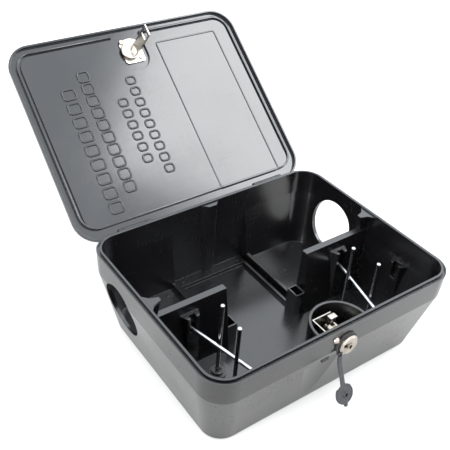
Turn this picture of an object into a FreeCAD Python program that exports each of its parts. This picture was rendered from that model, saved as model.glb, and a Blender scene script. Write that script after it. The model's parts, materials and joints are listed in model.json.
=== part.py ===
"""Rodent bait station: a lidded moulded box with two bait chambers, lock and bait rods.

Millimetres.  +X is the station's right, +Y points from the lock to the hinge, +Z is up.
The origin is the middle of the face that the base stands on.  The lid is modelled closed
and turned about its hinge to the open position, which is the rest position.
"""
import FreeCAD, Part
import math
import os

from FreeCAD import Placement, Rotation, Vector

# ---------------------------------------------------------------- driving dimensions
inner_width = 280.0          # between the side walls at the rim
inner_depth = 214.0          # between the front and rear walls at the rim
rim_height = 99.0            # top of the sealing band above the standing face
inner_corner = 20.5          # plan radius of the inside corners at the rim

band_width = 2.2             # raised sealing band round the mouth
groove_width = 1.8           # groove outside the band
lip_width = 1.5              # outer lip, lower than the band
lip_drop = 2.0
groove_depth = 3.5
rim_width = band_width + groove_width + lip_width

crease_height = 72.0         # the outer wall turns inwards below this height
upper_inset = 1.0            # how far the wall leans in between the rim and the crease
foot_inset = 17.0            # how far in the wall stands at the floor
floor_thickness = 3.0
lower_wall = 3.0             # wall thickness at the floor
inner_crease_inset = 1.2     # lean of the inner face between the rim and the crease
foot_round = 3.0

entrance_diameter = 58.0
entrance_y = 52.0
entrance_height = 52.0

partition_front = 1.5        # front face at the top
partition_foot = -9.6        # front face at the floor; the wall is thicker there
partition_thickness = 7.0
partition_top = 78.5
partition_end = 51.5         # half the gap between the two partitions at the top
partition_end_low = 50.5     # the same gap just above the baffle socket
socket_top = 30.8
socket_inner = 39.0
socket_outer = 51.0
socket_front = -5.5
socket_rear = 9.6
socket_wall = 1.6
socket_hollow = 16.0
pillar_width = 11.0
pillar_tip = 15.0            # how far the pillar's top reaches in from the side wall
pillar_web = 4.5

alcove_half = 49.5           # the middle of the rear wall stands further back than the rest
alcove_low_y = 103.6
alcove_crease_y = 106.5
alcove_wall = 3.0

slab_inner = 49.5            # rear floor slabs start this far from the middle
slab_rib_width = 4.0
slab_rib_top = 13.5
slab_top = 8.0
corner_slab_inner = 66.0
corner_slab_top = 7.0
strip_inner = 42.5
strip_outer = 46.0
strip_top = 7.5
pan_rear = 91.5
boss_half = 12.0             # rounded boss in the middle of the rear wall
boss_front_half = 4.5
boss_y = 101.0

rod_diameter = 4.0
rod_clearance = 0.05
rod_top = 97.7
rod_foot = 4.5
rear_rod_x, rear_rod_y = 81.5, -32.5
front_rod_x, front_rod_y = 85.4, -64.0
cross_rod_height = 52.5
cross_rod_rear_x, cross_rod_rear_y = 95.3, -3.3
cross_rod_front_x, cross_rod_front_y = 72.0, -100.0
bracket_top = 69.0
bracket_width = 21.0         # rod brackets, at the wall and at their free face
bracket_face = 13.0
bracket_depth = 8.5
bracket_web = 3.0            # what is left of the bracket behind its slot
bracket_slot = 7.2
side_bracket_y = -51.3
bush_diameter = 17.0
bush_top = 13.5

well_centre_y = -102.0
well_inner_radius = 26.5
well_wall = 2.5
well_top = 93.0

hinge_y = 117.0
hinge_z = 91.2
hinge_pin_diameter = 3.0
hinge_barrel_radius = 3.5
hinge_middle_x = 88.0        # middle of each of the two hinges
hinge_ear_width = 6.0
hinge_knuckle_width = 26.0
hinge_gap = 0.4
lid_stop_x = 48.0
lid_stop_width = 8.0
lid_open_angle = 141.2

lid_overhang = 2.1
lid_rear = 118.6
lid_gap = 0.4                # closed lid stands this far over the outer lip
lid_skirt = 2.3
lid_ceiling = 101.0
lid_top = 103.6
lid_sheet = 2.4
lid_rib_width = 2.0
lid_rib_bottom = 97.8
island_inset = 13.0
pocket_radius = 18.0
pocket_centre_y = -76.0

lock_height = 77.0
lock_face_diameter = 21.0
lock_barrel_diameter = 16.0
plug_diameter = 9.0
cam_length = 15.0
guard_front = 3.6            # guard flange's rear face behind the inner rim line
guard_gauge = 1.2
guard_left, guard_right = -18.0, 11.0
guard_below, guard_above = 10.0, 13.0
guard_reach = 19.5
rivet_x, rivet_z = -13.6, 86.5
rivet_radius = 1.6
strap_root_x, strap_root_y, strap_root_z = -8.0, -115.1, 66.4
strap_width = 5.0
strap_thickness = 1.8
cap_radius = 10.2
cap_tilt = 24.0              # the cap's face looks this far upwards

striker_gauge = 1.5
striker_rivet_radius = 1.5
striker_rivet_places = [(8.0, -73.5), (-9.0, -96.0)]
striker_front = -97.0        # front edge of the striker's tongue
striker_middle = -82.0
tongue_x = 11.0

scoop_x = -24.0              # hollow in the front wall under the lock
scoop_top = 66.0
scoop_radius = 110.0
scoop_depth = 2.2
scoop_length = 56.0

pillar_top = rim_height - 1.6  # clear of the lid's rib

outer_width = inner_width + 2 * rim_width
outer_depth = inner_depth + 2 * rim_width
outer_corner = inner_corner + rim_width
lip_top = rim_height - lip_drop

X_AXIS, Y_AXIS, Z_AXIS = Vector(1, 0, 0), Vector(0, 1, 0), Vector(0, 0, 1)


# ---------------------------------------------------------------- shape helpers
def rounded_outline(width, depth, radius, z, y_middle=0.0):
    """Closed wire of a rectangle with round corners, level at height z."""
    x, y = width / 2, depth / 2
    edges = []
    corners = [(x - radius, y - radius, 0), (-x + radius, y - radius, 90),
               (-x + radius, -y + radius, 180), (x - radius, -y + radius, 270)]
    arcs = []
    for cx, cy, start in corners:
        a, m, b = (math.radians(start + turn) for turn in (0, 45, 90))
        points = [Vector(cx + radius * math.cos(t), cy + y_middle + radius * math.sin(t), z)
                  for t in (a, m, b)]
        arcs.append(points)
    for index, points in enumerate(arcs):
        following = arcs[(index + 1) % 4]
        edges.append(Part.Arc(*points).toShape())
        edges.append(Part.makeLine(points[2], following[0]))
    return Part.Wire(edges)


def prism(width, depth, radius, z_low, z_high, y_middle=0.0):
    """Upright block with round corners."""
    face = Part.Face(rounded_outline(width, depth, radius, z_low, y_middle))
    return face.extrude(Vector(0, 0, z_high - z_low))


def loft(sections):
    """Ruled solid through rounded outlines given as (width, depth, radius, z)."""
    return Part.makeLoft([rounded_outline(*section) for section in sections], True, True)


def box(x0, x1, y0, y1, z0, z1):
    return Part.makeBox(x1 - x0, y1 - y0, z1 - z0, Vector(x0, y0, z0))


def cylinder(radius, start, direction, length):
    return Part.makeCylinder(radius, length, Vector(*start), direction)


def mirrored(shape):
    """The same shape on the other side of the station's middle plane."""
    return shape.mirror(Vector(0, 0, 0), X_AXIS)


def both_sides(shape):
    return [shape, mirrored(shape)]


def extruded(points, direction):
    """Flat polygon pushed along a direction."""
    outline = Part.makePolygon([Vector(*p) for p in points + points[:1]])
    return Part.Face(outline).extrude(direction)


def joined(shapes):
    return shapes[0].multiFuse(shapes[1:]).removeSplitter()


# ---------------------------------------------------------------- base moulding
def outer_envelope():
    sections = []
    for inset, z in ((foot_inset, 0.0), (upper_inset, crease_height), (0.0, lip_top)):
        sections.append((outer_width - 2 * inset, outer_depth - 2 * inset,
                         outer_corner - 0.3 * inset, z))
    body = loft(sections)
    foot_edges = [e for e in body.Edges if e.BoundBox.ZMax < 0.01]
    body = body.makeFillet(foot_round, foot_edges).fuse(alcove_back())
    band = prism(inner_width + 2 * band_width, inner_depth + 2 * band_width,
                 inner_corner + band_width, lip_top - 1, rim_height)
    return body.fuse(band)


def alcove_back():
    """Upright middle part of the rear wall's outside."""
    half = alcove_half + alcove_wall
    back = alcove_low_y + alcove_wall
    crease_y = outer_depth / 2 - upper_inset
    start = 0.4 * foot_round
    return extruded([(-half, 0, start), (-half, back, start), (-half, crease_y, crease_height),
                     (-half, 0, crease_height)], Vector(2 * half, 0, 0))


def alcove_room():
    """Room inside the upright middle part of the rear wall."""
    top = rim_height - 3.0
    return extruded([(-alcove_half, 0, floor_thickness), (-alcove_half, alcove_low_y, floor_thickness),
                     (-alcove_half, alcove_crease_y, crease_height),
                     (-alcove_half, inner_depth / 2, top), (-alcove_half, 0, top)],
                    Vector(2 * alcove_half, 0, 0))


def inner_envelope():
    crease = inner_crease_inset
    floor_half = foot_inset - (foot_inset - upper_inset) * floor_thickness / crease_height
    floor_inset = floor_half + lower_wall - rim_width
    sections = [(inner_width - 2 * floor_inset, inner_depth - 2 * floor_inset,
                 inner_corner - 0.3 * floor_inset, floor_thickness),
                (inner_width - 2 * crease, inner_depth - 2 * crease,
                 inner_corner - 0.3 * crease, crease_height),
                  (inner_width, inner_depth, inner_corner, rim_height + 0.01)]
    return loft(sections).fuse(alcove_room())


def rim_groove():
    outside = prism(inner_width + 2 * (band_width + groove_width),
                    inner_depth + 2 * (band_width + groove_width),
                    inner_corner + band_width + groove_width, rim_height - groove_depth,
                    rim_height + 1)
    inside = prism(inner_width + 2 * band_width, inner_depth + 2 * band_width,
                   inner_corner + band_width, rim_height - groove_depth - 1, rim_height + 2)
    return outside.cut(inside)


def floor_slabs():
    """Raised parts of the floor: rear chambers, front corners, and edges of the pan."""
    pieces = []
    reach = inner_width / 2
    back = inner_depth / 2
    low = floor_thickness - 0.5
    rear = box(slab_inner, reach, partition_front + partition_thickness, back, low, slab_top)
    corner = box(corner_slab_inner, reach, -back, partition_front, low, corner_slab_top)
    side_strip = box(strip_inner, strip_outer, partition_front, back, low, strip_top)
    edge_rib = box(slab_inner, slab_inner + slab_rib_width, partition_front, back, low, slab_rib_top)
    for piece in (rear, corner, side_strip, edge_rib):
        pieces += both_sides(piece)
    pieces.append(box(-strip_inner, strip_inner, pan_rear, back, low, strip_top))
    return pieces


def rear_boss():
    """Rounded boss in the middle of the rear wall, a little lower than the rim."""
    wall = inner_depth / 2 + 1
    return extruded([(-boss_half, wall, floor_thickness), (-boss_front_half, boss_y, floor_thickness),
                     (boss_front_half, boss_y, floor_thickness), (boss_half, wall, floor_thickness)],
                    Vector(0, 0, pillar_top - floor_thickness))


def partition_wedge(start, end):
    """Length of the inner wall between two places along X; its front face leans."""
    back = partition_front + partition_thickness
    return extruded([(start, partition_foot, floor_thickness), (start, partition_front, partition_top),
                     (start, back, partition_top), (start, back, floor_thickness)],
                    Vector(end - start, 0, 0))


def partition_pillar():
    """Post at the outer end of a partition, with a web that flares out to the rim."""
    middle = partition_front + partition_thickness / 2
    reach = inner_width / 2 + 0.5
    near, tip = reach - pillar_width, reach - pillar_tip
    web_front = middle - pillar_web / 2
    web = extruded([(reach, web_front, partition_top - 1), (near, web_front, partition_top - 1),
                    (tip, web_front, pillar_top), (reach, web_front, pillar_top)],
                   Vector(0, pillar_web, 0))
    flare_low = pillar_top - 3.0
    spread = 12.0
    flare = extruded([(reach, middle - spread, flare_low),
                      (reach - 0.45 * pillar_tip, middle - 0.4 * spread, flare_low),
                      (tip, middle - pillar_web / 2, flare_low), (tip, middle + pillar_web / 2, flare_low),
                      (reach - 0.45 * pillar_tip, middle + 0.4 * spread, flare_low),
                      (reach, middle + spread, flare_low)], Vector(0, 0, 3))
    return joined([partition_wedge(near, reach), web, flare])


def rod_bracket(wall_width, face_width, depth):
    """Tapered column with a slot open at the top, in which the end of a cross rod lies.

    It is drawn against a wall at y = 0 and stands out towards -Y.
    """
    low = floor_thickness - 0.5
    column = extruded([(-wall_width / 2, 2.0, low), (-wall_width / 2, 0, low), (-face_width / 2, -depth, low),
                       (face_width / 2, -depth, low), (wall_width / 2, 0, low), (wall_width / 2, 2.0, low)],
                      Vector(0, 0, bracket_top - low))
    slot = box(-bracket_slot / 2, bracket_slot / 2, -depth - 1, -bracket_web,
               cross_rod_height - rod_diameter / 2 - rod_clearance, bracket_top + 1)
    return column.cut(slot)


def placed(shape, x, y, turn):
    """The shape turned about Z by so many degrees and moved to (x, y)."""
    moved = shape.copy()
    moved.rotate(Vector(0, 0, 0), Z_AXIS, turn)
    moved.translate(Vector(x, y, 0))
    return moved


def side_bracket():
    """Slotted column on the side wall for a rod laid across the chamber."""
    bracket = rod_bracket(bracket_width, bracket_face, bracket_depth)
    return placed(bracket, inner_width / 2 - 1.0, side_bracket_y, -90)


def hinge_ears():
    """Four ears on the rear wall that carry the two hinge pins."""
    ears = []
    half = hinge_knuckle_width / 2 + hinge_gap
    wall_y = outer_depth / 2 - 1.5
    for side in (-1, 1):
        for start in (-half - hinge_ear_width, half):
            x = side * hinge_middle_x + start
            barrel = cylinder(hinge_barrel_radius, (x, hinge_y, hinge_z), X_AXIS, hinge_ear_width)
            web = extruded([(x, wall_y, hinge_z + 2.5), (x, hinge_y, hinge_z + hinge_barrel_radius),
                            (x, hinge_y, hinge_z - hinge_barrel_radius), (x, wall_y - 1, hinge_z - 10)],
                           Vector(hinge_ear_width, 0, 0))
            ears.append(barrel.fuse(web))
    return ears


def lid_stops():
    """Two short ribs under the hinge line that the open lid's back rests against."""
    stops = []
    wall_y = outer_depth / 2 - 2.5
    stop_y = hinge_y + 0.7
    for side in (-1, 1):
        x = side * lid_stop_x - lid_stop_width / 2
        rib = extruded([(x, wall_y, hinge_z - 0.6), (x, hinge_y - 1.0, hinge_z - 2.6),
                        (x, stop_y, hinge_z - 4.0), (x, stop_y, hinge_z - 6.0),
                        (x, wall_y, hinge_z - 14.6)], Vector(lid_stop_width, 0, 0))
        stops.append(rib)
    return stops


def rod_boss(x, y, top):
    return cylinder(4.5, (x, y, floor_thickness - 0.5), Z_AXIS, top - floor_thickness + 0.5)


def wall_scoop():
    """Shallow hollow in the front wall below the lock; it fades out towards the floor."""
    slope = (foot_inset - upper_inset) / crease_height
    wall_y = -outer_depth / 2 + upper_inset + (crease_height - scoop_top) * slope
    lean = math.atan(slope - scoop_depth / scoop_length)
    upwards = Vector(0, -math.sin(lean), math.cos(lean))
    inwards = Vector(0, math.cos(lean), math.sin(lean))
    deepest = Vector(scoop_x, wall_y + scoop_depth, scoop_top)
    start = deepest - inwards * scoop_radius - upwards * scoop_length
    return Part.makeCylinder(scoop_radius, scoop_length, start, upwards)


def scoop_tab():
    """Small ledge at the top of the hollow, which keeps the cap's strap off the wall."""
    wall_y = -outer_depth / 2 + upper_inset
    return box(scoop_x - 1.0, scoop_x + 7.0, wall_y + 0.8, wall_y + 4.5, scoop_top - 3.0, scoop_top + 1.0)


def lock_pad():
    """Flat pad inside the leaning front wall that the lock's bracket lies against."""
    rear = -inner_depth / 2 + guard_front - guard_gauge
    return box(guard_left, guard_right, -inner_depth / 2 - 2, rear, lock_height - guard_below,
               lock_height + guard_above)


def knock_out_line():
    """Fine groove in the pan that marks the tab for fixing the station to the ground."""
    low = floor_thickness - 0.4
    outside = prism(24.0, 34.0, 4.0, low, floor_thickness + 1.0, -68.0)
    inside = prism(23.2, 33.2, 3.6, low - 1.0, floor_thickness + 2.0, -68.0)
    ring = outside.cut(inside)
    ring.translate(Vector(-48.0, 0, 0))
    return ring


def base_tub():
    outside = outer_envelope()
    cavity = inner_envelope()
    shell = outside.cut(cavity).cut(rim_groove())
    inside = floor_slabs() + both_sides(partition_pillar())
    inside += both_sides(rod_boss(front_rod_x, front_rod_y, corner_slab_top + 4))
    inside.append(lock_pad())
    kept = [piece.common(cavity) for piece in inside]
    tub = joined([shell] + kept + hinge_ears() + lid_stops())
    tub = tub.cut(wall_scoop()).fuse(scoop_tab()).cut(both_sides(knock_out_line()))
    for x in (-inner_width / 2 - 20, inner_width / 2 - 30):
        tub = tub.cut(cylinder(entrance_diameter / 2, (x, entrance_y, entrance_height), X_AXIS, 50))
    tub = tub.cut(lock_hole())
    tub = tub.cut(cylinder(rivet_radius, (rivet_x, -outer_depth, rivet_z), Y_AXIS, outer_depth / 2 + 20))
    for x in (-hinge_middle_x, hinge_middle_x):
        tub = tub.cut(cylinder(hinge_pin_diameter / 2, (x - 21, hinge_y, hinge_z), X_AXIS, 42))
    for x, y in ((rear_rod_x, rear_rod_y), (front_rod_x, front_rod_y)):
        for side in (-1, 1):
            hole = cylinder(rod_diameter / 2 + rod_clearance, (side * x, y, rod_foot), Z_AXIS, 20)
            tub = tub.cut(hole)
    return tub


def lock_hole():
    return cylinder(lock_barrel_diameter / 2 + 0.05, (0, -outer_depth, lock_height), Y_AXIS,
                    outer_depth / 2 + 20)


# ---------------------------------------------------------------- inner walls
def fitted(pieces, tub, cavity):
    """Pieces trimmed to the inside of the base, without what the base already fills."""
    return [piece.common(cavity).cut(tub) for piece in pieces]


def front_rod_brackets():
    """Columns on the front wall with straight slots for the front ends of the cross rods."""
    low = floor_thickness - 0.5
    wall_y = -inner_depth / 2 - 1
    half = bracket_face / 2 + 1.5
    column = box(cross_rod_front_x - half, cross_rod_front_x + half, wall_y, wall_y + 12.0, low, bracket_top)
    slot = box(cross_rod_front_x - bracket_slot / 2, cross_rod_front_x + bracket_slot / 2, wall_y - 1,
               wall_y + 13.0, cross_rod_height - rod_diameter / 2 - rod_clearance, bracket_top + 1)
    return both_sides(column.cut(slot))


def right_partition():
    """Wall between the rear passage and the front bait chamber, with its baffle socket."""
    outer = inner_width / 2
    start = 2 * partition_foot
    outline = extruded([(outer, start, floor_thickness), (outer, start, partition_top),
                        (partition_end, start, partition_top), (partition_end_low, start, socket_top),
                        (partition_end_low, start, floor_thickness)], Vector(0, inner_depth / 4, 0))
    wall = outline.common(partition_wedge(partition_end_low, outer))
    socket = box(socket_inner, socket_outer, socket_front, socket_rear, floor_thickness, socket_top)
    hollow = box(socket_inner + socket_wall, socket_outer - socket_wall, socket_front + socket_wall,
                 socket_rear - socket_wall, socket_top - socket_hollow, socket_top + 1)
    bracket = rod_bracket(bracket_width, bracket_face, bracket_depth)
    bracket_y = cross_rod_rear_y + bracket_web + 0.6
    piece = joined([wall, socket, placed(bracket, cross_rod_rear_x, bracket_y, 0)])
    return piece.cut(hollow)


def lock_well(tub, cavity):
    """Round wall that closes the lock off from the bait."""
    height = well_top - floor_thickness
    outside = cylinder(well_inner_radius + well_wall, (0, well_centre_y, floor_thickness), Z_AXIS, height)
    inside = cylinder(well_inner_radius, (0, well_centre_y, 0), Z_AXIS, rim_height)
    return outside.cut(inside).common(cavity).cut(tub)


# ---------------------------------------------------------------- rods and bushes
def upright_rod(x, y):
    length = rod_top - rod_foot
    rod = cylinder(rod_diameter / 2, (x, y, rod_foot), Z_AXIS, length)
    return rod.makeChamfer(0.4, [e for e in rod.Edges if e.BoundBox.ZMin > rod_top - 0.1])


def cross_rod():
    start = Vector(cross_rod_rear_x, cross_rod_rear_y, cross_rod_height)
    end = Vector(cross_rod_front_x, cross_rod_front_y, cross_rod_height)
    return Part.makeCylinder(rod_diameter / 2, (end - start).Length, start, end - start)


def rod_bush(x, y):
    """Stepped round bush round the foot of an upright rod."""
    wide = cylinder(bush_diameter / 2, (x, y, corner_slab_top), Z_AXIS, 3.5)
    neck = cylinder(bush_diameter / 2 - 2.2, (x, y, corner_slab_top), Z_AXIS, bush_top - corner_slab_top)
    dish = cylinder(bush_diameter / 2 - 4.6, (x, y, bush_top - 1.4), Z_AXIS, 3)
    bore = cylinder(rod_diameter / 2 + rod_clearance, (x, y, 0), Z_AXIS, 30)
    return wide.fuse(neck).cut(dish).cut(bore).removeSplitter()


def hinge_pins():
    half = hinge_knuckle_width / 2 + hinge_gap + hinge_ear_width
    pins = []
    for x in (-hinge_middle_x, hinge_middle_x):
        pins.append(cylinder(hinge_pin_diameter / 2, (x - half, hinge_y, hinge_z), X_AXIS, 2 * half))
    return pins


# ---------------------------------------------------------------- lock
def lock_cylinder():
    """Housing of the lock: bevelled face disc and the barrel through the wall."""
    face_y = -outer_depth / 2 - 5.0
    thickness = 4.0
    face = Part.makeCone(lock_face_diameter / 2 - 1.6, lock_face_diameter / 2, 1.6,
                         Vector(0, face_y, lock_height), Y_AXIS)
    disc = cylinder(lock_face_diameter / 2, (0, face_y + 1.6, lock_height), Y_AXIS, thickness - 1.6)
    barrel = cylinder(lock_barrel_diameter / 2, (0, face_y + thickness, lock_height), Y_AXIS, 21.0)
    bore = cylinder(plug_diameter / 2 + 0.06, (0, face_y - 1, lock_height), Y_AXIS, 40)
    notch = box(-7.6, -3.6, face_y - 1, face_y + 2.0, lock_height + 0.8, lock_height + 4.8)
    return joined([face, disc, barrel]).cut(bore).cut(notch)


def lock_plug():
    """Turning core with its keyway, running right through the housing."""
    face_y = -outer_depth / 2 - 5.2
    core = cylinder(plug_diameter / 2, (0, face_y, lock_height), Y_AXIS, 27.0)
    ring = cylinder(3.2, (0, face_y - 0.8, lock_height), Y_AXIS, 0.8)
    keyway = cylinder(1.9, (0, face_y - 1, lock_height), Y_AXIS, 15)
    ward = box(-0.6, 0.6, face_y - 1, face_y + 14, lock_height - 2.8, lock_height)
    screw_hole = cylinder(1.6, (0, face_y + 18, lock_height), Y_AXIS, 10)
    return core.fuse(ring).cut(keyway).cut(ward).cut(screw_hole)


def lock_cam():
    """Flat tongue on the core; it points up when unlocked."""
    y0 = -outer_depth / 2 - 5.2 + 27.0
    hub = cylinder(6.5, (0, y0, lock_height), Y_AXIS, 2.5)
    blade = box(-4.0, 4.0, y0, y0 + 2.5, lock_height, lock_height + cam_length)
    block = box(-4.0, 4.0, y0 - 3.0, y0 + 2.5, lock_height + 11.0, lock_height + cam_length)
    hole = cylinder(1.6, (0, y0 - 1, lock_height), Y_AXIS, 6)
    return joined([hub, blade, block]).cut(hole)


def cam_screw():
    y0 = -outer_depth / 2 - 5.2 + 27.0
    head = cylinder(3.4, (0, y0 + 2.5, lock_height), Y_AXIS, 1.8)
    shank = cylinder(1.6, (0, y0 - 7.0, lock_height), Y_AXIS, 9.5)
    slot = box(-0.5, 0.5, y0 + 3.5, y0 + 5, lock_height - 4, lock_height + 4)
    return head.fuse(shank).cut(slot).removeSplitter()


def lock_nut():
    """Hexagon nut that clamps the housing to the front wall."""
    corner = 18.0 / math.sqrt(3.0)
    y0 = -inner_depth / 2 + guard_front
    points = []
    for k in range(6):
        turn = math.radians(60 * k + 30)
        points.append((corner * math.cos(turn), y0, lock_height + corner * math.sin(turn)))
    nut = extruded(points, Vector(0, 4.5, 0))
    bore = cylinder(lock_barrel_diameter / 2, (0, y0 - 1, lock_height), Y_AXIS, 8)
    return nut.cut(bore)


def lock_bracket():
    """Folded steel guard behind the wall: a flange under the nut, a side and a back."""
    gauge = guard_gauge
    y0 = -inner_depth / 2 + guard_front
    left, right, reach = guard_left, guard_right, guard_reach
    low, high = lock_height - guard_below, lock_height + guard_above
    flange = box(left, right, y0 - gauge, y0, low, high)
    side = box(left, left + gauge, y0 - gauge, y0 + reach, low, high)
    back = box(left, 4.0, y0 + reach - gauge, y0 + reach, low, high)
    hole = cylinder(lock_barrel_diameter / 2, (0, y0 - 5, lock_height), Y_AXIS, 10)
    rivet_hole = cylinder(rivet_radius, (rivet_x, y0 - 5, rivet_z), Y_AXIS, 10)
    return joined([flange, side, back]).cut(hole).cut(rivet_hole)


def bracket_rivet():
    """Dome-headed rivet that holds the bracket to the front wall."""
    y_out = -outer_depth / 2 + 0.25
    y_in = -inner_depth / 2 + guard_front
    shank = cylinder(rivet_radius, (rivet_x, y_out - 0.8, rivet_z), Y_AXIS, y_in - y_out + 0.8)
    dome = Part.makeSphere(3.4, Vector(rivet_x, y_out + 0.7, rivet_z))
    dome = dome.common(box(rivet_x - 5, rivet_x + 5, y_out - 5, y_out, rivet_z - 5, rivet_z + 5))
    tail = cylinder(2.8, (rivet_x, y_in, rivet_z), Y_AXIS, 1.2)
    return joined([shank, dome, tail])


def lock_gasket(tub):
    """Rubber ring between the lock's face disc and the wall, with the strap's root tab."""
    y0 = -outer_depth / 2 - 1.0
    ring = cylinder(12.2, (0, y0, lock_height), Y_AXIS, 3.0)
    tab = box(strap_root_x - 2.5, strap_root_x + 2.5, y0 - 1.2, y0 + 1.0,
              strap_root_z + 1.6, lock_height - 6.0)
    bore = cylinder(lock_barrel_diameter / 2, (0, y0 - 4, lock_height), Y_AXIS, 12)
    face_room = cylinder(lock_face_diameter / 2, (0, y0 - 8, lock_height), Y_AXIS, 8)
    return ring.fuse(tab).cut(bore).cut(face_room).cut(tub).removeSplitter()


def dust_cap():
    """Rubber strap with a round cap and hollow stud, hanging below the lock."""
    width = strap_width
    x0 = strap_root_x - width / 2
    root = cylinder(1.3, (x0, strap_root_y, strap_root_z), X_AXIS, width)
    drops = [(0.0, 0.0), (2.4, 11.0), (7.4, 19.5), (9.9, 28.0)]
    path = [(strap_root_y - out, strap_root_z - down) for out, down in drops]
    thickness = strap_thickness
    strap = []
    for (ya, za), (yb, zb) in zip(path, path[1:]):
        length = math.hypot(yb - ya, zb - za)
        ny, nz = -(zb - za) / length * thickness / 2, (yb - ya) / length * thickness / 2
        link = extruded([(x0, ya + ny, za + nz), (x0, yb + ny, zb + nz), (x0, yb - ny, zb - nz),
                         (x0, ya - ny, za - nz)], Vector(width, 0, 0))
        strap.append(link)
        strap.append(cylinder(thickness / 2, (x0, yb, zb), X_AXIS, width))
    cap_z = strap_root_z - 37.5
    cap_y = strap_root_y - 10.9
    cap = cylinder(cap_radius, (strap_root_x, cap_y, cap_z), Y_AXIS, 2.2)
    stud = cylinder(3.0, (strap_root_x, cap_y - 2.6, cap_z), Y_AXIS, 3.0)
    hollow = cylinder(1.7, (strap_root_x, cap_y - 3.0, cap_z), Y_AXIS, 3.4)
    pull = box(strap_root_x - 2.2, strap_root_x + 2.2, cap_y, cap_y + 2.2,
               cap_z - cap_radius - 2.8, cap_z - cap_radius + 1.2)
    head = joined([cap, stud, pull]).cut(hollow)
    head.rotate(Vector(0, cap_y, cap_z + cap_radius), X_AXIS, -cap_tilt)
    return joined([root] + strap + [head])


# ---------------------------------------------------------------- lid, modelled closed
def lid_outline(inset, z_low, z_high):
    width = outer_width + 2 * lid_overhang
    front = -outer_depth / 2 - lid_overhang
    depth = lid_rear - front
    radius = outer_corner + lid_overhang - inset
    return prism(width - 2 * inset, depth - 2 * inset, radius, z_low, z_high,
                 (lid_rear + front) / 2)


def pocket_outline(grow, z_low, z_high):
    """U-shaped pocket for the striker, open towards the front of the lid."""
    radius = pocket_radius + grow
    front = -outer_depth / 2 - lid_overhang + lid_skirt
    round_end = cylinder(radius, (0, pocket_centre_y, z_low), Z_AXIS, z_high - z_low)
    mouth = box(-radius, radius, front, pocket_centre_y, z_low, z_high)
    return round_end.fuse(mouth)


def lid_rib():
    """Rib round the underside that drops just inside the mouth of the base."""
    gap = 0.8
    rear_gap = 1.4
    depth = inner_depth - gap - rear_gap
    middle = (gap - rear_gap) / 2
    outside = prism(inner_width - 2 * gap, depth, inner_corner - gap, lid_rib_bottom,
                    lid_ceiling, middle)
    inside = prism(inner_width - 2 * gap - 2 * lid_rib_width, depth - 2 * lid_rib_width,
                   inner_corner - gap - lid_rib_width, lid_rib_bottom - 1, lid_ceiling + 1, middle)
    return outside.cut(inside).cut(pocket_outline(0.0, lid_rib_bottom - 1, lid_ceiling + 1))


def lid_knuckles():
    knuckles = []
    half = hinge_knuckle_width / 2
    for side in (-1, 1):
        x = side * hinge_middle_x - half
        barrel = cylinder(hinge_barrel_radius, (x, hinge_y, hinge_z), X_AXIS, hinge_knuckle_width)
        arm = box(x, x + hinge_knuckle_width, hinge_y - 1.4, lid_rear, hinge_z, lip_top + 2.5)
        knuckles.append(barrel.fuse(arm))
    return knuckles


def lid_panel():
    skirt_low = lip_top + lid_gap
    shell = lid_outline(0.0, skirt_low, lid_top)
    top_edges = [e for e in shell.Edges if e.BoundBox.ZMin > lid_top - 0.01]
    shell = shell.makeFillet(2.4, top_edges)
    shell = shell.cut(lid_outline(lid_skirt, skirt_low - 1, lid_ceiling))
    underside = lid_ceiling - lid_sheet
    island = lid_outline(island_inset, underside, lid_ceiling + 0.5)
    island = island.cut(pocket_outline(0.0, underside - 1, lid_ceiling))
    cheeks = pocket_outline(lid_sheet, underside, lid_ceiling + 0.5)
    cheeks = cheeks.cut(pocket_outline(0.0, underside - 1, lid_ceiling + 1))
    cheeks = cheeks.cut(box(-40, 40, -140, -inner_depth / 2 + 0.8, 80, 120))
    recess = lid_outline(island_inset + lid_sheet, lid_ceiling, lid_top + 1)
    recess = recess.cut(pocket_outline(lid_sheet, lid_ceiling - 1, lid_top + 2))
    lid = joined([shell, island, cheeks, lid_rib()] + lid_knuckles())
    lid = lid.cut(recess)
    pin_hole = hinge_pin_diameter / 2 + 0.06
    for side in (-1, 1):
        x = side * hinge_middle_x - hinge_knuckle_width
        lid = lid.cut(cylinder(pin_hole, (x, hinge_y, hinge_z), X_AXIS, 2 * hinge_knuckle_width))
    for x, y in striker_rivet_places:
        lid = lid.cut(cylinder(striker_rivet_radius, (x, y, 90), Z_AXIS, 20))
    return lid


def lid_striker():
    """Steel plate in the lid's pocket with a folded tongue that the cam enters."""
    top = lid_ceiling
    rear = striker_front + 14.0
    plate = box(-13.0, tongue_x + striker_gauge, -100.0, -68.0, top - striker_gauge, top)
    plate = plate.common(cylinder(pocket_radius - 0.6, (0, striker_middle, 80), Z_AXIS, 40))
    tongue = box(tongue_x, tongue_x + striker_gauge, striker_front, rear, lock_height - 9.0, top)
    window = box(tongue_x - 2, tongue_x + 4, striker_front + 2.4, rear - 2.0,
                 lock_height - 5.2, lock_height + 5.2)
    piece = joined([plate, tongue]).cut(window)
    for x, y in striker_rivet_places:
        piece = piece.cut(cylinder(striker_rivet_radius, (x, y, 90), Z_AXIS, 20))
    return piece


def striker_cup():
    """Round steel cup pressed on the striker plate."""
    top = lid_ceiling - striker_gauge
    disc = cylinder(11.0, (-3.5, striker_middle - 1.0, top - 3.6), Z_AXIS, 3.6)
    rim = [e for e in disc.Edges if e.BoundBox.ZMax < top - 3.5]
    return disc.makeFillet(1.2, rim)


def striker_rivets():
    rivets = []
    for x, y in striker_rivet_places:
        shank = cylinder(striker_rivet_radius, (x, y, lid_ceiling - striker_gauge), Z_AXIS,
                         lid_top - lid_ceiling + 2.3)
        head = cylinder(2.8, (x, y, lid_ceiling - striker_gauge - 1.3), Z_AXIS, 1.3)
        tail = cylinder(2.8, (x, y, lid_top), Z_AXIS, 0.8)
        rivets.append(joined([shank, head, tail]))
    return rivets


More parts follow.
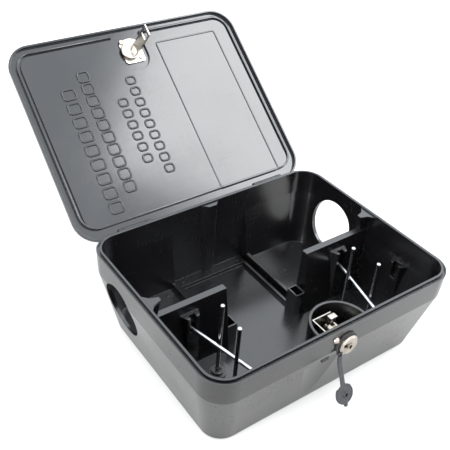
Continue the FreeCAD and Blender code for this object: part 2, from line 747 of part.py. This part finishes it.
def opened(shape):
    """Turn a lid piece from closed to the open rest position."""
    turned = shape.copy()
    turned.rotate(Vector(0, hinge_y, hinge_z), X_AXIS, -lid_open_angle)
    return turned


# ---------------------------------------------------------------- output
def write(name, shape):
    if isinstance(shape, list):
        shape = Part.makeCompound(shape)
    if not shape.isValid():
        print("not valid:", name)
    print("%-22s %2d solid  %9.1f mm3  %s" % (name, len(shape.Solids), shape.Volume,
                                            [round(v, 1) for v in (shape.BoundBox.XMin,
                                             shape.BoundBox.XMax, shape.BoundBox.YMin,
                                             shape.BoundBox.YMax, shape.BoundBox.ZMin,
                                             shape.BoundBox.ZMax)]))
    shape.exportStep("parts/%s.step" % name)


def main():
    os.makedirs("parts", exist_ok=True)
    cavity = inner_envelope()
    tub = base_tub()
    partition = fitted([right_partition()], tub, cavity)[0]
    write("base_tub", tub)
    write("right_partition", partition)
    write("left_partition", mirrored(partition))
    write("lock_well", lock_well(tub, cavity))
    write("rear_boss", fitted([rear_boss()], tub, cavity))
    write("front_rod_brackets", fitted(front_rod_brackets(), tub, cavity))
    write("side_rod_brackets", fitted(both_sides(side_bracket()), tub, cavity))
    write("hinge_pins", hinge_pins())
    write("rod_bushes", both_sides(rod_bush(rear_rod_x, rear_rod_y)))
    write("lock_cylinder", lock_cylinder())
    write("lock_plug", lock_plug())
    write("lock_cam", lock_cam())
    write("cam_screw", cam_screw())
    write("lock_nut", lock_nut())
    write("lock_bracket", lock_bracket())
    write("bracket_rivet", bracket_rivet())
    write("lock_gasket", lock_gasket(tub))
    write("dust_cap", dust_cap())
    rods = {"rear_rod": upright_rod(rear_rod_x, rear_rod_y),
            "front_rod": upright_rod(front_rod_x, front_rod_y),
            "cross_rod": cross_rod()}
    for name, rod in rods.items():
        write("right_" + name, rod)
        write("left_" + name, mirrored(rod))
    write("lid_panel", opened(lid_panel()))
    write("lid_striker", opened(lid_striker()))
    write("striker_cup", opened(striker_cup()))
    write("striker_rivets", [opened(rivet) for rivet in striker_rivets()])


main()
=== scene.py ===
"""Looks of the rodent bait station: surfaces, moulded detail, rubber cap, light and camera.

Metres.  The lid stands open at rest; pieces on it are drawn as if it were closed and
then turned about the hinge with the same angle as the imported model.
"""
import json
import math
import random

import bmesh
import bpy
from mathutils import Matrix, Vector


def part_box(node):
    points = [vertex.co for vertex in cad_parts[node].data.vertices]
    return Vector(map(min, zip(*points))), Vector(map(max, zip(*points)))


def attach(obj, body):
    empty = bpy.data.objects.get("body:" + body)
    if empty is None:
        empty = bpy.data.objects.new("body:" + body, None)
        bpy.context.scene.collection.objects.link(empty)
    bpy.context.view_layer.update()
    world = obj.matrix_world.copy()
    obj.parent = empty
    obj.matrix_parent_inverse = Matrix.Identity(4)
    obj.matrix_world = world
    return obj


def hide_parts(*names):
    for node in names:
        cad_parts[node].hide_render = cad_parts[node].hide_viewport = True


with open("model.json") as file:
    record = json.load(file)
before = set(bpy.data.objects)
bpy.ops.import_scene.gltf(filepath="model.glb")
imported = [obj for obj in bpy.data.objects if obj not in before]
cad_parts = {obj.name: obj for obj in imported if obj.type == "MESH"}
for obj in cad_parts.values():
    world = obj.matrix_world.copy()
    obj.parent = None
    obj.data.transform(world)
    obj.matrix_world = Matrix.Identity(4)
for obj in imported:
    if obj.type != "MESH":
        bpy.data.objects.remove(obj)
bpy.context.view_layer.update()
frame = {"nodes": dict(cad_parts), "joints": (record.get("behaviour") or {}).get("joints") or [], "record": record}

MM = 0.001
draw = random.Random(7)

# ---------------------------------------------------------------- places taken from the frame
joints = {joint["name"]: joint for joint in frame["joints"]}
rim_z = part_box("base_tub")[1].z
hinge = Vector(joints["lid_hinge"]["pos_m"])
open_angle = math.radians(-joints["lid_hinge"]["range_deg"][0])
lid_turn = (Matrix.Translation(hinge) @ Matrix.Rotation(-open_angle, 4, "X")
            @ Matrix.Translation(-hinge))
island_z = rim_z - 0.4 * MM      # underside of the lid's middle panel when closed
pan_z = 3.0 * MM                 # top of the pan in the floor
slab_z = 8.0 * MM                # top of the rear floor slabs
border_z = 7.5 * MM              # top of the floor between the pan and the rear wall

# ---------------------------------------------------------------- sizes of the added detail
label_left, label_right = 33.0 * MM, 116.0 * MM
label_near, label_far = 12.0 * MM, 204.0 * MM      # distances from the hinge line
label_line, label_height = 2.2 * MM, 1.0 * MM
tile_line, tile_height = 2.6 * MM, 1.4 * MM
tile_radius = 3.6 * MM
cap_radius = 10.2 * MM
cap_tilt = math.radians(24.0)
cap_half_thickness = 1.1 * MM
strap_reach, strap_drop = 9.8 * MM, 37.5 * MM      # from the strap's root to the cap
strap_half_width, strap_half_thickness = 2.6 * MM, 0.9 * MM
strap_neck = 3.4 * MM                              # half width where it meets the cap
pull_length = 2.6 * MM                             # small tab below the cap

# ---------------------------------------------------------------- camera
camera_place = Vector((-0.3816, -0.4090, 0.5447))
camera_azimuth, camera_elevation, camera_roll = (math.radians(v) for v in (-35.53, 34.03, 3.12))
lens_length = 57.27                                # mm on a 36 mm wide sensor
lens_shift = (0.0536, -0.0735)


# ---------------------------------------------------------------- node helpers
class Surface:
    """One procedural material, built a node at a time."""

    def __init__(self, name, metallic=0.0, ior=1.5):
        self.material = bpy.data.materials.new(name)
        self.material.use_nodes = True
        self.nodes = self.material.node_tree.nodes
        self.links = self.material.node_tree.links
        self.shader = self.nodes["Principled BSDF"]
        self.shader.inputs["Metallic"].default_value = metallic
        self.shader.inputs["IOR"].default_value = ior
        self.place = self.nodes.new("ShaderNodeTexCoord").outputs["Object"]

    def node(self, kind, **values):
        made = self.nodes.new(kind)
        for key, value in values.items():
            if key in made.inputs:
                made.inputs[key].default_value = value
            else:
                setattr(made, key, value)
        return made

    def link(self, source, target):
        self.links.new(source, target)

    def stretched(self, scale):
        mapping = self.node("ShaderNodeMapping", Scale=scale)
        self.link(self.place, mapping.inputs["Vector"])
        return mapping.outputs["Vector"]

    def noise(self, scale, detail=3.0, roughness=0.5, place=None):
        made = self.node("ShaderNodeTexNoise", Scale=scale, Detail=detail, Roughness=roughness)
        self.link(place or self.place, made.inputs["Vector"])
        return made.outputs["Fac"]

    def ramp(self, source, stops):
        made = self.node("ShaderNodeValToRGB")
        made.color_ramp.elements[0].position = stops[0][0]
        made.color_ramp.elements[0].color = (*stops[0][1], 1)
        made.color_ramp.elements[1].position = stops[-1][0]
        made.color_ramp.elements[1].color = (*stops[-1][1], 1)
        for position, colour in stops[1:-1]:
            made.color_ramp.elements.new(position).color = (*colour, 1)
        self.link(source, made.inputs["Fac"])
        return made.outputs["Color"]

    def ranged(self, source, low, high, from_low=0.3, from_high=0.7):
        made = self.node("ShaderNodeMapRange")
        made.inputs["From Min"].default_value = from_low
        made.inputs["From Max"].default_value = from_high
        made.inputs["To Min"].default_value = low
        made.inputs["To Max"].default_value = high
        self.link(source, made.inputs["Value"])
        return made.outputs["Result"]

    def sum(self, first, second, operation="ADD"):
        made = self.node("ShaderNodeMath", operation=operation)
        self.link(first, made.inputs[0])
        self.link(second, made.inputs[1])
        return made.outputs["Value"]

    def mixed(self, factor, first, colour):
        """The first colour, turning into a fixed colour where the factor is 1."""
        made = self.node("ShaderNodeMix", data_type="RGBA")
        self.link(factor, made.inputs["Factor"])
        self.link(first, made.inputs[6])
        made.inputs[7].default_value = (*colour, 1)
        return made.outputs[2]

    def edge_wear(self, width):
        """1 on convex edges, 0 on flat areas, broken up by noise; edges also catch the light."""
        bevel = self.node("ShaderNodeBevel", samples=6, Radius=width)
        normal = self.node("ShaderNodeNewGeometry").outputs["Normal"]
        dot = self.node("ShaderNodeVectorMath", operation="DOT_PRODUCT")
        self.link(bevel.outputs["Normal"], dot.inputs[0])
        self.link(normal, dot.inputs[1])
        edge = self.ranged(dot.outputs["Value"], 1.0, 0.0, 0.75, 0.99)
        broken = self.ranged(self.noise(90.0, 4.0), 0.0, 1.0, 0.42, 0.62)
        self.link(bevel.outputs["Normal"], self.shader.inputs["Normal"])
        return self.sum(edge, broken, "MULTIPLY")

    def bump(self, source, strength, distance):
        made = self.node("ShaderNodeBump", Strength=strength, Distance=distance)
        self.link(source, made.inputs["Height"])
        if self.shader.inputs["Normal"].is_linked:
            self.link(self.shader.inputs["Normal"].links[0].from_socket, made.inputs["Normal"])
        self.link(made.outputs["Normal"], self.shader.inputs["Normal"])

    def colour(self, source):
        self.link(source, self.shader.inputs["Base Color"])

    def rough(self, source):
        self.link(source, self.shader.inputs["Roughness"])


def moulded_plastic(name, dark, light, smooth, dull):
    """Black moulded polypropylene: flow marks, fine grain, hairline scuffs and rubbed edges."""
    s = Surface(name, ior=1.52)
    flow = s.noise(9.0, 3.0, 0.55)
    base = s.ramp(flow, [(0.35, dark), (0.68, light)])
    worn = [4.0 * part for part in light]
    s.colour(s.mixed(s.edge_wear(0.6 * MM), base, worn))
    hairs = s.noise(1.0, 2.0, 0.6, s.stretched((900.0, 35.0, 60.0)))
    cross = s.noise(1.0, 2.0, 0.6, s.stretched((40.0, 800.0, 60.0)))
    scuffs = s.ranged(s.sum(hairs, cross, "MULTIPLY"), 0.0, 0.06, 0.30, 0.42)
    cloud = s.ranged(s.noise(14.0, 4.0), smooth, dull)
    s.rough(s.sum(cloud, scuffs))
    s.bump(s.noise(1400.0, 2.0), 0.10, 0.12 * MM)
    s.bump(flow, 0.05, 1.2 * MM)
    return s.material


def drawn_steel(name, dark, light, smooth, dull, along=(60.0, 60.0, 900.0)):
    """Bright metal with drawing lines, faint tarnish and small pits."""
    s = Surface(name, metallic=1.0)
    tarnish = s.noise(160.0, 3.0)
    s.colour(s.ramp(tarnish, [(0.35, dark), (0.65, light)]))
    lines = s.noise(1.0, 2.0, 0.6, s.stretched(along))
    s.rough(s.ranged(lines, smooth, dull))
    s.bump(lines, 0.15, 0.05 * MM)
    s.bump(s.noise(2400.0, 2.0), 0.06, 0.03 * MM)
    return s.material


def plated(name, dark, light, smooth, dull):
    """Nickel plate with a warm cast and soft orange peel."""
    s = Surface(name, metallic=1.0)
    s.colour(s.ramp(s.noise(120.0, 3.0), [(0.3, dark), (0.7, light)]))
    s.rough(s.ranged(s.noise(300.0, 3.0), smooth, dull))
    s.bump(s.noise(900.0, 2.0), 0.08, 0.04 * MM)
    return s.material


def moulded_rubber(name, dark, light):
    """Dark grey rubber with a dusty bloom and a fine matt grain."""
    s = Surface(name, ior=1.45)
    s.colour(s.ramp(s.noise(220.0, 4.0), [(0.3, dark), (0.72, light)]))
    s.rough(s.ranged(s.noise(500.0, 3.0), 0.48, 0.68))
    s.bump(s.noise(2600.0, 2.0), 0.22, 0.06 * MM)
    return s.material


def pale_floor():
    s = Surface("pale_floor")
    s.colour(s.ramp(s.noise(3.0, 2.0), [(0.3, (0.52, 0.50, 0.48)), (0.7, (0.54, 0.52, 0.50))]))
    s.rough(s.ranged(s.noise(20.0, 2.0), 0.75, 0.85))
    return s.material


MATERIALS = {
    "base_plastic": moulded_plastic("base_plastic", (0.0020, 0.0019, 0.0021), (0.0036, 0.0034, 0.0037),
                                    0.17, 0.27),
    # Same black plastic as the base, coloured a little lighter and bluer on the lid: this is a painted blue-grey
    # sheen of the sky light on the lid.
    "lid_plastic": moulded_plastic("lid_plastic", (0.0030, 0.0035, 0.0043), (0.0056, 0.0062, 0.0074),
                                   0.11, 0.19),
    "bush_plastic": moulded_plastic("bush_plastic", (0.010, 0.010, 0.010), (0.018, 0.018, 0.018),
                                    0.36, 0.48),
    "cap_rubber": moulded_rubber("cap_rubber", (0.012, 0.012, 0.013), (0.024, 0.024, 0.026)),
    "rod_steel": drawn_steel("rod_steel", (0.34, 0.34, 0.35), (0.46, 0.46, 0.47), 0.14, 0.26),
    "zinc_steel": drawn_steel("zinc_steel", (0.24, 0.225, 0.20), (0.36, 0.34, 0.31), 0.18, 0.34,
                              (300.0, 300.0, 60.0)),
    "nickel": plated("nickel", (0.24, 0.21, 0.18), (0.34, 0.31, 0.27), 0.10, 0.22),
}


# ---------------------------------------------------------------- mesh helpers
def new_piece(name, mesh_builder, slot, body, smooth_angle=35.0):
    """Piece from a bmesh builder, with its material, slot and body."""
    mesh = bpy.data.meshes.new(name)
    bm = bmesh.new()
    mesh_builder(bm)
    bmesh.ops.recalc_face_normals(bm, faces=bm.faces)
    for face in bm.faces:
        face.smooth = True
    bm.to_mesh(mesh)
    bm.free()
    piece = bpy.data.objects.new(name, mesh)
    bpy.context.scene.collection.objects.link(piece)
    mesh.set_sharp_from_angle(angle=math.radians(smooth_angle))
    mesh.materials.append(MATERIALS[slot])
    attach(piece, body)
    return piece


def soften(piece, width):
    """Rounds the sharp edges of a piece by a small radius."""
    modifier = piece.modifiers.new("rounded_edges", "BEVEL")
    modifier.width = width
    modifier.segments = 2
    modifier.limit_method = "ANGLE"
    modifier.angle_limit = math.radians(32.0)
    modifier.harden_normals = True
    modifier.miter_outer = "MITER_ARC"


def rounded_loop(width, depth, radius, z, y_middle=0.0, x_middle=0.0, steps=8):
    """Points of a level rectangle with round corners."""
    points = []
    for quarter in range(4):
        sign_x = (1, -1, -1, 1)[quarter]
        sign_y = (1, 1, -1, -1)[quarter]
        for step in range(steps + 1):
            turn = math.pi / 2 * (quarter + step / steps)
            points.append(Vector((x_middle + sign_x * (width / 2 - radius) + radius * math.cos(turn),
                                  y_middle + sign_y * (depth / 2 - radius) + radius * math.sin(turn),
                                  z)))
    return points


def bridge(bm, loops, closed=False):
    """Quads between rings of points; closed joins the last ring to the first."""
    rings = [[bm.verts.new(point) for point in loop] for loop in loops]
    pairs = list(zip(rings, rings[1:]))
    if closed:
        pairs.append((rings[-1], rings[0]))
    for lower, upper in pairs:
        count = len(lower)
        for k in range(count):
            bm.faces.new((lower[k], lower[(k + 1) % count], upper[(k + 1) % count], upper[k]))
    return rings


def ridge(bm, width, depth, radius, y_middle, x_middle, line, height, base_z, place):
    """Raised line with a rounded top along a rounded rectangle, standing down from base_z."""
    profile = [(-line / 2, 0.0), (-line * 0.32, -height * 0.8), (0.0, -height),
               (line * 0.32, -height * 0.8), (line / 2, 0.0), (0.0, 0.15 * MM)]
    loops = []
    for out, rise in profile:
        loop = rounded_loop(width + 2 * out, depth + 2 * out, max(radius + out, 0.2 * MM),
                            base_z + rise, y_middle, x_middle, 6)
        loops.append([place @ point for point in loop])
    bridge(bm, loops, closed=True)


# ---------------------------------------------------------------- moulded detail on the lid
def lid_frame(bm):
    """Raised line round the place for a label on the underside of the lid."""
    ridge(bm, label_right - label_left, label_far - label_near, 3.0 * MM,
          hinge.y - (label_near + label_far) / 2, (label_left + label_right) / 2,
          label_line, label_height, island_z, lid_turn)


def lid_tiles(bm):
    """Rows of blank rounded frames, a plain relief with no letters."""
    # middle x, frame width, frame length, count, distance of the first from the hinge, spacing (mm)
    rows = ((-95.0, 15.0, 12.0, 9, 22.0, 17.0),
            (-71.0, 13.0, 12.0, 10, 40.0, 15.0),
            (-38.0, 11.0, 9.0, 6, 66.0, 14.0),
            (-18.0, 11.0, 9.0, 9, 48.0, 14.0))
    for x, across, along, count, start, step in rows:
        for k in range(count):
            back = start + k * step + along / 2
            ridge(bm, across * MM, along * MM, tile_radius, hinge.y - back * MM, x * MM,
                  tile_line, tile_height, island_z, lid_turn)


def floor_marks(bm):
    """Low round ejector marks on the floor of the passage and chambers."""
    marks = [(75, 55, slab_z), (65, 86, slab_z), (112, 84, slab_z),
             (-75, 55, slab_z), (-65, 86, slab_z), (-112, 84, slab_z),
             (38, 98, border_z), (-38, 98, border_z),
             (20, 60, pan_z), (-20, 60, pan_z), (24, -40, pan_z), (-30, -52, pan_z)]
    for x, y, z in marks:
        radius = draw.uniform(1.7, 2.2) * MM
        profile = [(radius, -0.1 * MM), (radius * 0.94, 0.3 * MM), (radius * 0.8, 0.45 * MM),
                   (radius * 0.55, 0.5 * MM)]
        rings = bridge(bm, [ring_points(Vector((x * MM, y * MM, z + rise)), size)
                            for size, rise in profile])
        bm.faces.new(rings[-1])
        bm.faces.new(rings[0])


def ring_points(middle, radius, across=Vector((1, 0, 0)), along=Vector((0, 1, 0)), count=20):
    """Points of a circle about a middle in the plane of two directions."""
    points = []
    for k in range(count):
        turn = 2 * math.pi * k / count
        points.append(middle + radius * (math.cos(turn) * across + math.sin(turn) * along))
    return points


# ---------------------------------------------------------------- rubber dust cap
def cap_places():
    """Root of the strap, middle of the cap, and the cap's downward and outward directions."""
    root = Vector(joints["cap_swing"]["pos_m"])
    down = Vector((0, -math.sin(cap_tilt), -math.cos(cap_tilt)))
    out = Vector((0, -math.cos(cap_tilt), math.sin(cap_tilt)))
    hang = root + Vector((0, -strap_reach, -(strap_drop - cap_radius)))
    return root, hang + down * cap_radius, down, out


def rubber_cap(bm):
    """Strap that widens into a round cap with a small pull at its lower edge."""
    root, middle, down, _ = cap_places()
    top = middle - down * cap_radius
    corners = [root + Vector((0, 0, 0.6 * MM)),
               root + Vector((0, -1.2 * MM, -9 * MM)),
               root + Vector((0, -5.9 * MM, -17.5 * MM)),
               top - down * 1.5 * MM,
               top + down * 4 * MM]
    strap_steps, flare_from, disc_steps = 24, 16, 26
    neck_length = 4 * MM
    disc = []
    for k in range(1, disc_steps + 1):
        run = neck_length - cap_radius
        run += (2 * cap_radius - neck_length + pull_length) * k / disc_steps
        half = math.sqrt(cap_radius ** 2 - run ** 2) if abs(run) < cap_radius else 0.0
        pull = 2.3 * MM if run < cap_radius + 2.2 * MM else 1.5 * MM
        disc.append((middle + down * run, max(half, pull if run > 0 else strap_neck),
                     cap_half_thickness))
    flare = disc[0][1]
    spine = []
    for k in range(strap_steps + 1):
        grow = max(0.0, (k - flare_from) / (strap_steps - flare_from)) ** 2
        half = strap_half_width + grow * (flare - strap_half_width)
        thick = strap_half_thickness + grow * (cap_half_thickness - strap_half_thickness)
        spine.append((smooth_path(corners, k / strap_steps), half, thick))
    stations = spine + disc
    loops = []
    for k, (point, half, thick) in enumerate(stations):
        ahead = stations[min(k + 1, len(stations) - 1)][0] - stations[max(k - 1, 0)][0]
        facing = Vector((1, 0, 0)).cross(ahead).normalized()
        loops.append(flat_section(point, half, thick, facing))
    rings = bridge(bm, loops)
    bm.faces.new(rings[0])
    bm.faces.new(rings[-1])


def flat_section(point, half, thick, facing, steps=6):
    """Section of a flat band with fully rounded edges."""
    points = []
    for side, start in ((1, -90), (-1, 90)):
        for k in range(steps + 1):
            turn = math.radians(start + 180 * k / steps)
            offset_x = side * (half - thick) + thick * math.cos(turn)
            points.append(point + Vector((offset_x, 0, 0)) + facing * thick * math.sin(turn))
    return points


def smooth_path(corners, part):
    """Point on a B-spline drawn by the corners, part running from 0 to 1."""
    padded = [corners[0]] * 2 + corners + [corners[-1]] * 2
    spans = len(padded) - 3
    place = min(part * spans, spans - 1e-6)
    k = int(place)
    t = place - k
    weights = ((1 - t) ** 3 / 6, (3 * t ** 3 - 6 * t ** 2 + 4) / 6,
               (-3 * t ** 3 + 3 * t ** 2 + 3 * t + 1) / 6, t ** 3 / 6)
    return sum((weight * padded[k + j] for j, weight in enumerate(weights)), Vector())


def cap_stud(bm):
    """Hollow stud that plugs the keyway, with a soft foot where it meets the cap."""
    _, middle, down, out = cap_places()
    face = middle + out * 1.0 * MM
    # radius and rise (mm) from the foot, over the lip and down into the hollow
    profile = [(4.3, -0.2), (3.7, 0.15), (3.2, 0.6), (3.1, 2.2), (2.9, 2.6), (2.5, 2.75), (2.1, 2.65),
               (1.9, 2.3), (1.8, 0.4)]
    side = Vector((1, 0, 0))
    loops = [ring_points(face + out * rise * MM, size * MM, side, down, 32) for size, rise in profile]
    rings = bridge(bm, loops)
    bm.faces.new(rings[-1])
    bm.faces.new(rings[0])


def cap_rim(bm):
    """Thin raised edge round the cap's face."""
    _, middle, down, out = cap_places()
    # distance from the cap's edge and rise (mm) round the section
    profile = [(-0.1, 0.55), (-0.5, 1.3), (-1.0, 1.45), (-1.5, 1.3), (-1.8, 0.9), (-1.0, 0.6)]
    side = Vector((1, 0, 0))
    loops = [ring_points(middle + out * rise * MM, cap_radius + inset * MM, side, down, 48)
             for inset, rise in profile]
    bridge(bm, loops, closed=True)


# ---------------------------------------------------------------- CAD pieces that stay
ROUNDED = {"right_partition": 0.45 * MM, "left_partition": 0.45 * MM, "front_rod_brackets": 0.4 * MM,
           "side_rod_brackets": 0.4 * MM, "lock_well": 0.4 * MM, "rear_boss": 0.5 * MM,
           "lid_panel": 0.35 * MM}


def finish_cad_nodes():
    """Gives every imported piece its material, and some of them rounded edges."""
    for entry in frame["record"]["subparts"]:
        node = frame["nodes"][entry["node"]]
        node.data.materials.clear()
        node.data.materials.append(MATERIALS[entry["material_slot"]])
        if entry["node"] in ROUNDED:
            merge = node.modifiers.new("merged_points", "WELD")
            merge.merge_threshold = 0.002 * MM
            flat = node.modifiers.new("whole_faces", "DECIMATE")
            flat.decimate_type = "DISSOLVE"
            flat.angle_limit = math.radians(0.6)
            soften(node, ROUNDED[entry["node"]])


# ---------------------------------------------------------------- camera and light
def photo_camera():
    """Camera at the height, direction and roll that the object is shown from."""
    data = bpy.data.cameras.new("camera")
    camera = bpy.data.objects.new("camera", data)
    bpy.context.scene.collection.objects.link(camera)
    back = Vector((math.sin(camera_azimuth) * math.cos(camera_elevation),
                   -math.cos(camera_azimuth) * math.cos(camera_elevation),
                   math.sin(camera_elevation)))
    camera.location = camera_place
    turn = (-back).to_track_quat("-Z", "Y").to_matrix().to_4x4()
    camera.matrix_world = (Matrix.Translation(camera.location) @ turn
                           @ Matrix.Rotation(camera_roll, 4, "Z"))
    data.sensor_width = 36.0
    data.lens = lens_length
    data.shift_x, data.shift_y = lens_shift
    data.clip_start = 0.01
    data.clip_end = 20.0
    bpy.context.scene.camera = camera


def softbox(name, place, target, size, power, colour=(1.0, 1.0, 1.0)):
    data = bpy.data.lights.new(name, "AREA")
    data.shape = "RECTANGLE"
    data.size, data.size_y = size
    data.energy = power
    data.color = colour
    light = bpy.data.objects.new(name, data)
    light.location = place
    light.rotation_euler = (Vector(target) - Vector(place)).to_track_quat("-Z", "Y").to_euler()
    bpy.context.scene.collection.objects.link(light)


def studio():
    """Bright even surroundings, two softboxes and a plain pale floor."""
    scene = bpy.context.scene
    scene.view_settings.view_transform = "Standard"
    world = bpy.data.worlds.new("studio")
    world.use_nodes = True
    world.node_tree.nodes["Background"].inputs["Color"].default_value = (0.90, 0.95, 1.0, 1)
    world.node_tree.nodes["Background"].inputs["Strength"].default_value = 3.6
    scene.world = world
    softbox("lid_box", (1.25, -0.35, 1.75), (0, 0.2, 0.15), (0.9, 0.9), 26.0)
    softbox("left_box", (-1.6, -0.2, 0.5), (0, 0, 0.05), (1.2, 0.7), 25.0)
    floor_mesh = bpy.data.meshes.new("floor")
    reach = 6.0
    corners = [(-reach, -reach, 0), (reach, -reach, 0), (reach, reach, 0), (-reach, reach, 0)]
    floor_mesh.from_pydata(corners, [], [(0, 1, 2, 3)])
    floor = bpy.data.objects.new("floor", floor_mesh)
    floor_mesh.materials.append(pale_floor())
    scene.collection.objects.link(floor)


# ---------------------------------------------------------------- scene
finish_cad_nodes()
new_piece("lid_label_frame", lid_frame, "lid_plastic", "lid")
new_piece("lid_relief_tiles", lid_tiles, "lid_plastic", "lid")
new_piece("floor_ejector_marks", floor_marks, "base_plastic", "base")
strap = new_piece("dust_cap_strap", rubber_cap, "cap_rubber", "cap", smooth_angle=50.0)
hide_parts("dust_cap")
new_piece("dust_cap_stud", cap_stud, "cap_rubber", "cap", smooth_angle=60.0)
new_piece("dust_cap_rim", cap_rim, "cap_rubber", "cap", smooth_angle=60.0)
studio()
photo_camera()
